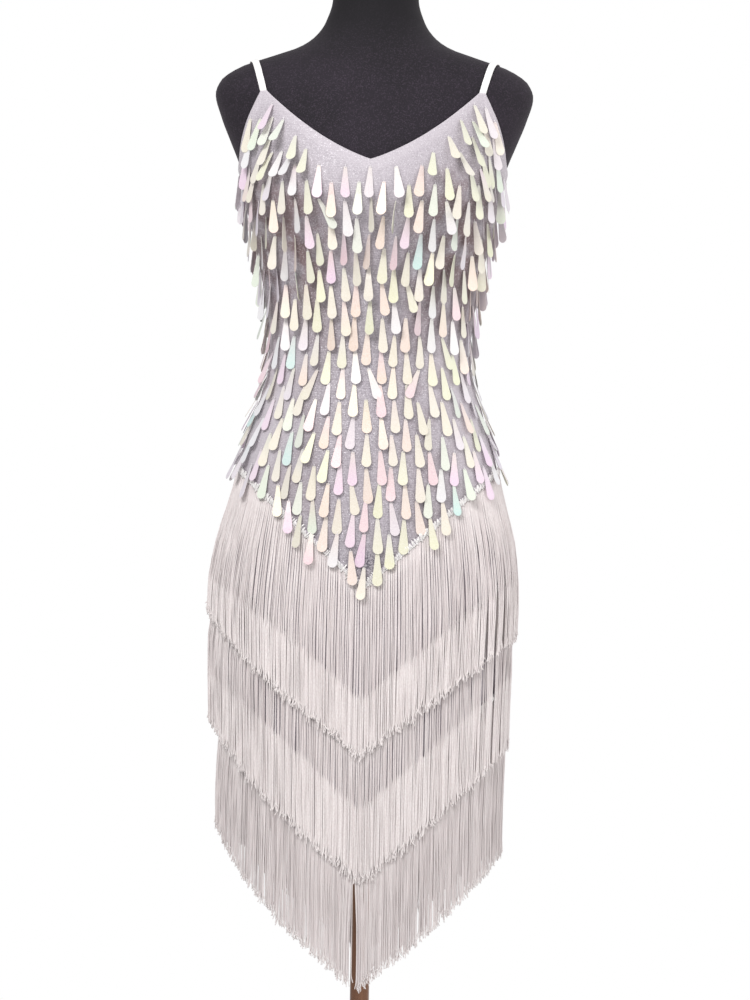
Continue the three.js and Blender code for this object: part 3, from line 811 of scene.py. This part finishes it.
def drop_places(top, centre, rng):
    """Where drops are sewn: half-drop columns spaced along the arc, with some extra ones by the
    armholes and the neck. The plain edge is narrowest at the V and at the armholes."""
    rows = np.arange(LOWEST_ROW, HIGHEST_ROW, ROW_PITCH)
    rank, row = np.meshgrid(np.arange(-16, 17), np.arange(len(rows)))
    by_side = (np.abs(rank) > 7) & (rows[row] > 1.25)
    by_neck = (np.abs(rank) > 1) & (rows[row] > 1.272)
    keep = ((rank + row) % 2 == 0) | ((by_side | by_neck) & (rng.random(rank.shape) < 0.42))
    rank, row = rank[keep], row[keep]
    height = rows[row] + rng.normal(0, 1.4 * MM, rank.shape)
    arc = rank * COLUMN_PITCH + rng.normal(0, 0.9 * MM, rank.shape)
    fine = np.linspace(-90, 90, 361)
    angle = np.full(arc.shape, np.nan)
    for i, h in enumerate(height):  # each height has its own arc lengths
        run = arc_lengths(figure_point(fine + centre, h, EASE))
        run -= run[len(run) // 2]
        if run[0] < arc[i] < run[-1]:
            angle[i] = np.interp(arc[i], run, fine)
    bare = mix(0.015, 0.005, bell(angle / 7))
    bare = mix(bare, 0.006, smooth((np.abs(angle) - 30) / 12))
    angle = angle + centre
    chevron = tape_height("fringe_upper", angle) + TAPE_HEIGHT * 0.7
    inside = (height < top(angle) - bare) & (height > chevron)  # never for nan
    return angle[inside], height[inside]


def drop_tints(angle, centre, rng):
    """Each drop's colours at its top and bottom, drawn by how far it lies from the middle."""
    tints, table = (np.array(rows) for rows in zip(*TINTS.values()))
    away = np.abs(angle - centre)
    zone = np.interp(away + rng.normal(0, 5, away.shape), [10, 26, 50, 66], [0, 1, 1, 2])
    low = np.floor(zone).astype(int).clip(0, 1)
    share = table.T[low] * (1 - (zone - low))[:, None] + table.T[low + 1] * (zone - low)[:, None]
    share = np.cumsum(share / share.sum(1, keepdims=True), 1)
    picks = ((rng.random((len(angle), 1)) > share).sum(1) for _ in range(2))
    bottom, other = (tints[pick.clip(0, len(tints) - 1)] for pick in picks)
    top = mix(bottom, other, rng.uniform(0.1, 0.75, (len(angle), 1)))
    pale = rng.uniform(0.0, 0.26, (len(angle), 1)) + 0.22
    # the sewn end greyed: partly the knit seen through it, partly painted shade from the drop above
    top = mix(mix(top, 0.96 * BLUSH, pale), SEWN_END_GREY_AND_SHADE, 0.25)
    # painted light: drops toward the sides lighter than those in the middle
    tone = mix(*DROP_TONES, smooth((away - 20) / 40))[:, None]
    return tone * top, tone * mix(bottom, BLUSH, pale)


def turned_pair(a, b, angle):
    """Directions at right angles, turned in their plane by an angle each: a towards b."""
    c, s = np.cos(angle)[:, None], np.sin(angle)[:, None]
    return a * c + b * s, b * c - a * s


def drop_axes(angle, height, centre, rng):
    """Where each drop is sewn and its directions across, down and out. It hangs along the knit
    where that slopes out, or along the chord to where it ends if that lies further out, and
    straight down where the knit falls away, with a little lift, tilt and yaw of its own."""
    count = len(angle)
    above_braid = height - tape_height("fringe_upper", angle)
    near = 1 - smooth((above_braid / DROP_LENGTH - 0.6) / 0.5)  # 1 where it lies over the braid
    at, normal, down = surface_frame(angle, height, SKIN + (0.7 + 1.3 * near) * MM)
    level = levelled(normal)
    slope = (down * level).sum(-1, keepdims=True)
    end = figure_point(angle, height - DROP_LENGTH, SKIN + 0.9 * MM)
    chord = ((end - at) * level).sum(-1, keepdims=True) / DROP_LENGTH
    hang = unit(down + level * (np.maximum(np.maximum(slope, chord), 0) - slope))
    free = np.clip(-slope * 3, 0, 1)[:, 0]
    away = np.abs(angle - centre)
    splay = np.where(sine(angle) < 0, *SPLAY) * smooth((away - 42) / 35)
    splay = splay * smooth((1.15 - height) / 0.06)
    over_cups = smooth((away - 6) / 10) * (1 - smooth((away - 30) / 16)) * (centre == 0)
    cups = smooth((height - 1.262) / 0.025) * over_cups
    lift = np.abs(rng.normal(*LIFT, count)) * (1 + 1.5 * cups) + splay
    lift = np.radians(lift + LIFT_BY_BRAID * near + LIFT_BY_CUPS * cups)
    hang = unit(hang + level * np.tan(lift)[:, None])
    face = unit(level - hang * (level * hang).sum(-1, keepdims=True))
    crossed = rng.random(count) < CROSSED_SHARE
    fan = smooth((away - 20) / 24) * smooth((height - 1.225) / 0.06) * FAN
    tilt = rng.normal(0, TILT, count) + crossed * rng.choice([-CROSSED, CROSSED], count)
    tilt = np.radians(tilt - fan * np.sign(angle - centre))
    yaw = np.radians(rng.normal(0, YAW, count) + free * rng.normal(0, YAW_FREE, count))
    hang, across = turned_pair(hang, np.cross(hang, face), tilt)
    face, across = turned_pair(face, across, yaw)
    return at, across, hang, face


def paillettes(name, stitch_name, top, centre, seed, material, cotton):
    """A panel's drops, a little bowed, and their stitches: a bar down from the hole, one across."""
    rng = np.random.default_rng(seed)
    angle, height = drop_places(top, centre, rng)
    at, across, hang, face = drop_axes(angle, height, centre, rng)
    count = len(angle)
    shape = drop_shape()
    rows = len(shape)
    local = shape[None] * rng.normal(1.0, 0.03, count)[:, None, None, None]
    arch = np.sin(np.pi * shape[None, :, :, 1] / DROP_LENGTH)
    local[..., 2] += rng.normal(0, 0.5 * MM, (count, 1, 1)) * arch
    axes = [v[:, None, None] for v in (across, hang, face)]
    skin = at[:, None, None] + sum(local[..., i : i + 1] * axes[i] for i in range(3))
    half = axes[2] * DROP_THICK / 2
    points = np.stack([skin + half, skin - half], 1).reshape(count, -1, 3)
    each = rows * 2
    front = grid_faces(rows, 2)
    rim = np.concatenate([[0], np.arange(1, each, 2), np.arange(each - 2, 0, -2)])
    after = np.roll(rim, -1)
    side = np.stack([rim, rim + each, after + each, after], -1)
    one = np.concatenate([front, front[:, ::-1] + each, side])
    faces = (one[None] + (np.arange(count) * each * 2)[:, None, None]).reshape(-1, 4)
    upper, lower = drop_tints(angle, centre, rng)
    fade = smooth((shape[:, :, 1].reshape(-1) / DROP_LENGTH - 0.05) / 0.7)
    tint = mix(upper[:, None], lower[:, None], fade[None, :, None])
    tint = np.concatenate([tint, tint], 1).reshape(-1, 3)
    drops = new_piece(name, points, [faces], material, "paillette", tint, smooth_faces=False)

    bar = np.array([-2.6, -0.6, 1.6]) * MM
    upright = at[:, None] + hang[:, None] * bar[None, :, None] + face[:, None] * 0.35 * MM
    cross = at[:, None] + across[:, None] * (bar / 1.7)[None, :, None] + face[:, None] * 0.6 * MM
    cross = cross + hang[:, None] * 0.9 * MM
    made = joined(*(tubes(bars, 0.28 * MM, face[:, None]) for bars in (upright, cross)))
    return drops, new_piece(stitch_name, *made, cotton, "strap_elastic")


# ---- fringe ----

STRAND_RADIUS = 0.5 * MM
LOCK_WIDTH = 2.8 * MM  # strands cling together in locks about this wide
LOOP_PITCH, LOOP_HALF = 1.9 * MM, 3.6 * MM  # the braid's loops along the tape, half their height
LOOP_RADIUS, CORD_RADIUS = 0.5 * MM, 0.55 * MM
YARN_DARK, YARN_LIGHT = np.array([0.705, 0.642, 0.64]), np.array([0.87, 0.822, 0.815])
YARN_PAINTED_LIGHT = np.array([0.95, 0.915, 0.90])  # painted light: whiter at the hooked ends, which catch the light, and where tiers overlap, to lift the shade between strands


def added_length(angle):
    """A half sine of the distance from the middle, less a power curve that lifts the ends at the
    wearer's right side."""
    x, side = figure_point(angle, HIP_HEIGHT, 0)[..., 0], float(half_width(HIP_HEIGHT))
    swept = np.clip((-x - SWEPT_FROM) / (side - SWEPT_FROM), 0, 1) ** 1.6
    return FULLNESS * np.sin(np.pi * np.abs(x) / side) - SWEPT * swept


def ring_shares(steps, edge):
    """Where the strands' rings lie, as shares of their length: evenly down to the edge (n, 1),
    evenly from there on, and close together in the hook."""
    above = mix(0.018, edge - 0.02, np.linspace(0, 1, steps - 8))
    below = mix(edge + 0.02, 0.935, np.linspace(0, 1, 4))
    hook = np.broadcast_to([0.955, 0.975, 0.99, 1.0], (len(edge), 4))
    return np.concatenate([above, below, hook], 1)


def heading(name, tier, braid, knit):
    """A looped braid on a tape: loops are ellipses that stand across it, lean more or less and
    rise off it at their tops; a cord runs along below."""
    under = SKIN + TAPE_AIR + TIERS[tier]["raised"]
    angle = hip_angle(np.linspace(-GIRTH / 2, GIRTH / 2, 360, endpoint=False))[None]
    level = np.array([-0.40, -0.2, 0.2, 0.40])[:, None] * TAPE_HEIGHT
    height = tape_height(tier, angle) + level
    edge = np.array([0.75, 1.0, 1.0, 0.75])[:, None] * 0.5 * MM
    # the upper tape's knit reads this as its lighter colour at 0.8, like the knit under the fringe:
    # painted light
    tint = np.broadcast_to([0.0, 0.8, 0.0], (*height.shape, 3))
    cloth = knit if tier == "fringe_upper" else braid
    tape = wall(name + "_tape", figure_point(angle, height, under + edge),
                figure_point(angle, height, under), cloth, "fringe_yarn", tint, wrap=True)
    loops = round(GIRTH / LOOP_PITCH)
    arc = np.linspace(-GIRTH / 2, GIRTH / 2, loops, endpoint=False)[:, None]
    rng = np.random.default_rng(loops)
    lean, tall = rng.normal(0.35, 0.4, (loops, 1)), rng.normal(1, 0.2, (loops, 1))
    turn = np.linspace(0, 2 * np.pi, 10)[None]
    rise = np.cos(turn) * LOOP_HALF * tall
    run = arc + np.sin(turn) * 0.65 * MM - rise * lean * np.sign(arc)
    run = run + rng.normal(0, 0.5 * MM, (loops, 1))
    out = under + 1.5 * MM + np.cos(turn) * 0.3 * MM + np.abs(np.sin(turn)) * 0.5 * MM
    path = figure_point(hip_angle(run), tape_height(tier, hip_angle(arc)) + rise, out)
    made = tubes(path, LOOP_RADIUS, levelled(path[:, :1]))
    angle = hip_angle(np.linspace(-GIRTH / 2, GIRTH / 2, 400))[None]
    cord = figure_point(angle, tape_height(tier, angle) - 2.8 * MM, under + 1.0 * MM)
    made = joined(made, tubes(cord, CORD_RADIUS, levelled(cord)))
    return new_piece(name, *made, braid, "fringe_yarn"), tape


def fringe(name, seed, material):
    """Strands that ease out from the tape to where their tier hangs: drawn together in locks,
    waved by sines, pushed apart at the partings, hooked at their ends."""
    tier, lowest = TIERS[name], name == "fringe_lower"
    count = tier["strands"]
    rng = np.random.default_rng(seed)
    arc = (np.arange(count) + rng.uniform(-0.25, 0.25, count)) * GIRTH / count - GIRTH / 2
    split = LOCK_WIDTH * (np.arange(round(GIRTH / LOCK_WIDTH)) + 0.5) - GIRTH / 2
    lock = np.searchsorted(split + rng.uniform(-0.22, 0.22, len(split)) * LOCK_WIDTH, arc)
    locks = lock[-1] + 1
    centre = np.bincount(lock, arc, locks) / np.maximum(np.bincount(lock, minlength=locks), 1)
    angle_top = hip_angle(arc)
    x = np.abs(figure_point(angle_top, HIP_HEIGHT, 0)[..., 0])
    # pull draws strands to their lock's middle, less so at the sides; drift makes them stray
    pull = rng.uniform(0.1, 0.5, locks)[lock] * (1 - 0.65 * smooth((x - 0.085) / 0.06))
    drift = rng.normal(0, 0.4 * MM, locks)[lock] + rng.normal(0, 0.15 * MM, count)
    if lowest:
        pull, drift = 0.3 * pull, 0.5 * drift
    top = tape_height(name, angle_top)
    length = tier["length"] + added_length(angle_top)
    length += rng.normal(0, 1.8 * MM, count) + rng.normal(0, 1.6 * MM, locks)[lock]
    edge = tier["band"] + np.random.default_rng(seed + 10).normal(0, 2.2 * MM, (count, 1))
    t = ring_shares(tier["steps"], edge / length[:, None])
    drop = length[:, None] * t
    # 1 where a tier lies over the next one's tape, and at its own top under the tier above
    over = smooth((drop - edge) / (8 * MM) + 0.5) * (not lowest)
    under_tier = 1 - smooth((drop - tier["covered"]) / (10 * MM))
    overlap = np.maximum(over, under_tier)
    wave = rng.uniform(0.05, 0.5, (count, 1)) ** 1.5 * 0.8 * MM
    turns = rng.uniform(1.0, 3.6, (count, 1))
    phase = rng.uniform(0, 2 * np.pi, (count, 1))
    hook = np.clip((t - 0.94) / 0.06, 0, 1) ** 1.5
    curl = rng.normal(0, 2.0 * MM, (count, 1)) * hook
    sideways = (
        (centre[lock] - arc)[:, None] * pull[:, None] * smooth(0.35 + t * 5) * (1 - overlap)
        + drift[:, None] * t * (1 - 0.8 * over)
        + wave * np.sin(2 * np.pi * turns * t + phase) * smooth(t * 4) * (1 - 0.6 * overlap)
        + curl
    )
    loose = rng.random(count) < 0.06
    for place, half, reach, start in tier["partings"]:
        away = arc - place
        push = np.sign(away) * half * np.clip(1 - np.abs(away) / reach, 0, 1) * ~loose
        sideways += push[:, None] * smooth((t - start) / 0.5)
    angle = hip_angle(arc[:, None] + sideways)
    height = top[:, None] - drop + np.abs(curl) * 0.9
    under = SKIN + TAPE_AIR + 0.4 * MM + tier["raised"]
    layer = rng.uniform(0, 2.0 * MM, (count, 1))
    ripple = 0.4 * MM * np.sin(2 * np.pi * turns * 0.7 * t + phase * 1.7) * smooth(t * 3)
    out = mix(under, SKIN + tier["stand"] + layer, smooth(drop / STAND_WITHIN)) + ripple
    swing, within = tier["swing"]
    out += swing * np.clip(-sine(angle), 0, 1) ** 2 * smooth(drop / within)
    out += np.abs(curl) * 0.35
    path = figure_point(angle, height, out)
    radius = STRAND_RADIUS * rng.uniform(0.9, 1.1, (count, 1)) * (1 + 0.2 * hook + 0.25 * over)
    points, faces = tubes(path, radius, levelled(figure_point(angle_top, top, 0))[:, None])
    tone = 0.7 * rng.random((count, 1)) + 0.3 * rng.random(locks)[lock][:, None]
    # the tier's shade is painted shade: the lower tiers darker, as if under the tiers above
    tint = mix(YARN_DARK, YARN_LIGHT, tone) * tier["shade"]
    # painted light: strands whiter toward their hooked ends and where tiers overlap or lie under
    # the tier above
    pale = np.maximum(0.45 * hook, np.maximum(0.3 * over, 0.5 * under_tier))
    tint = np.repeat(mix(tint[:, None], YARN_PAINTED_LIGHT, pale[..., None]).reshape(-1, 3), 4, 0)
    strands = new_piece(name + "_strands", points, faces, material, "fringe_yarn", tint)
    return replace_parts(strands, name)


# ---- camera, light and floor ----


def camera():
    """Level with the hips, 3 m away, a little to the wearer's left, rolled to match the lean."""
    distance, swing, roll = 3.0, math.radians(1.3), math.radians(0.95)
    data = bpy.data.cameras.new("camera")
    data.lens, data.sensor_width = 90.0, 36.0
    lens = placed("camera", data)
    aim = np.array([0.0088, 0.0, 0.878])
    lens.location = aim + distance * np.array([math.sin(swing), -math.cos(swing), 0])
    turn = Matrix.Rotation(swing, 3, "Z") @ Matrix.Rotation(math.pi / 2, 3, "X")
    lens.rotation_euler = (turn @ Matrix.Rotation(roll, 3, "Z")).to_euler()
    bpy.context.scene.camera = lens


def softbox(name, place, target, size, power):
    data = bpy.data.lights.new(name, "AREA")
    data.size, data.energy = size, power
    lamp = placed(name, data)
    lamp.location = place
    lamp.rotation_euler = (Vector(target) - Vector(place)).to_track_quat("-Z", "Y").to_euler()


def studio():
    """A white backdrop for the lens, lit by a world that fades from grey on the left to white
    on the right, a key from above on the left and a weak fill on the right."""
    world = bpy.data.worlds.new("white_studio")
    tree = Tree(world)
    tree.tree.nodes.clear()
    across = tree.split(tree.add("TexCoord").outputs["Generated"], "XYZ")["X"]
    limits = {"From Min": -0.9, "From Max": 0.7, "To Min": 0.55, "To Max": 0.97}
    fade = tree.add("MapRange", Value=across, **limits).outputs["Result"]
    around = tree.add("Background", Color=(1.0, 0.985, 0.98), Strength=fade).outputs[0]
    backdrop = tree.add("Background", Color=(1.0, 1.0, 1.0)).outputs[0]
    choose = tree.add("MixShader")
    seen = tree.add("LightPath").outputs["Is Camera Ray"]
    for socket, source in zip(choose.inputs, (seen, around, backdrop)):
        tree.feed(socket, source)
    tree.add("OutputWorld", Surface=choose.outputs[0])
    bpy.context.scene.world = world
    bpy.context.scene.view_settings.view_transform = "Standard"
    softbox("key", (-0.9, -2.2, 2.7), (0, 0, 0.95), 1.0, 50)
    softbox("fill", (1.8, -1.8, 1.3), (0, 0, 0.9), 1.6, 9)
    sides, radius, below = 128, 1.2, 1.0 * MM
    turn = np.linspace(0, 2 * np.pi, sides, endpoint=False)
    disc = np.stack([radius * np.sin(turn), -radius * np.cos(turn), np.full(sides, -below)], -1)
    mesh = bpy.data.meshes.new("floor")
    mesh.from_pydata(disc.tolist(), [], [list(range(sides))])
    mesh.materials.append(floor_paint())
    placed("floor", mesh)


# ---- the whole ----

camera()
studio()

knit, cover, yarn, braid, ribbon = glitter_knit(), jersey(), fringe_yarn(), braid_yarn(), elastic()
shell, cotton, metal = pearl(), thread(), bronze()

form_torso(cover)
form_stand(metal, enamel())

front_angles = edge_angles(STRAP_FRONT_ANGLE, 0, 76)
back_angles = edge_angles(STRAP_BACK_ANGLE, 180, 60)
front = slip_panel("slip_front_knit", front_angles, 190, front_top, knit)
back = slip_panel("slip_back_knit", back_angles, 150, back_top, knit)
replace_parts(front, "slip_front")
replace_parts(back, "slip_back")

front_trim = [
    strap("strap_left_ribbon", "strap_left", 1, ribbon),
    strap("strap_right_ribbon", "strap_right", -1, ribbon),
    rolled_edge("rolled_edge_front", front_angles, front_top, knit),
    *paillettes("paillettes_front", "drop_stitches_front", front_top, 0, 11, shell, cotton),
]
back_trim = [
    rolled_edge("rolled_edge_back", back_angles, back_top, knit),
    *paillettes("paillettes_back", "drop_stitches_back", back_top, 180, 12, shell, cotton),
]
for seed, tier in enumerate(TIERS, 21):
    front_trim += heading(tier + "_heading", tier, braid, knit)
    front_trim.append(fringe(tier, seed, yarn))
